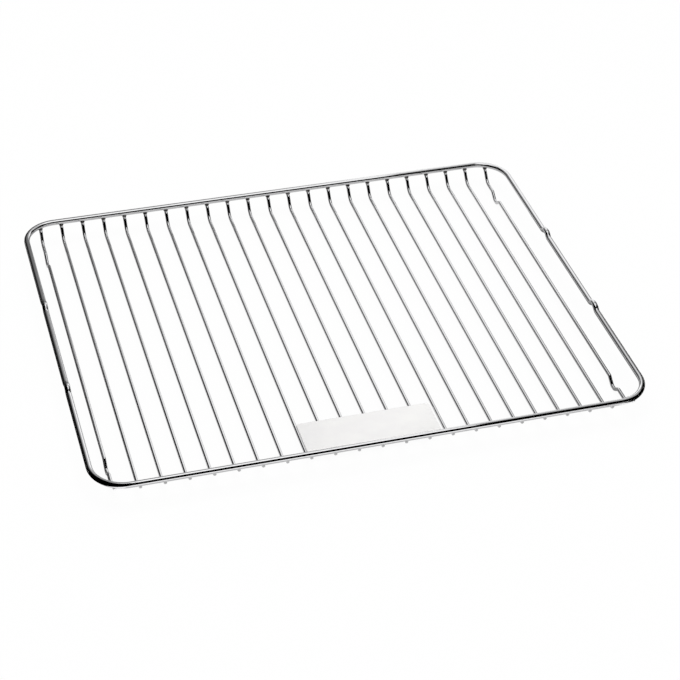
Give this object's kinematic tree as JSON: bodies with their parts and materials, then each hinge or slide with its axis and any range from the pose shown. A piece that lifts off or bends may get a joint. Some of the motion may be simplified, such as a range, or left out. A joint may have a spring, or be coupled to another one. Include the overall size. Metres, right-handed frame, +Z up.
{
  "type": "oven shelf rack",
  "caption": "Rounded rectangular wire rim with low side humps, dished cross wires that carry cookware, small wire feet and a bare flat plate at the front.",
  "frame": {"origin": "middle of the shelf, on the surface that the feet stand on", "axes": "+X to the right along the front bar, +Y from the front to the back, +Z up"},
  "size_m": [0.465, 0.383, 0.026],
  "materials": {
    "rim_wire": "polished",
    "grid_wire": "polished",
    "plate_sheet": "satin"
  },
  "bodies": {
    "root": {"rim_frame": "rim_wire", "left_foot_wire": "grid_wire", "cross_wire_01": "grid_wire", "cross_wire_02": "grid_wire", "cross_wire_03": "grid_wire", "cross_wire_04": "grid_wire", "cross_wire_05": "grid_wire", "cross_wire_06": "grid_wire", "cross_wire_07": "grid_wire", "cross_wire_08": "grid_wire", "cross_wire_09": "grid_wire", "cross_wire_10": "grid_wire", "cross_wire_11": "grid_wire", "cross_wire_12": "grid_wire", "cross_wire_13": "grid_wire", "cross_wire_14": "grid_wire", "cross_wire_15": "grid_wire", "cross_wire_16": "grid_wire", "cross_wire_17": "grid_wire", "cross_wire_18": "grid_wire", "cross_wire_19": "grid_wire", "cross_wire_20": "grid_wire", "cross_wire_21": "grid_wire", "right_foot_wire": "grid_wire", "front_plate": "plate_sheet"}
  },
  "joints": []
}
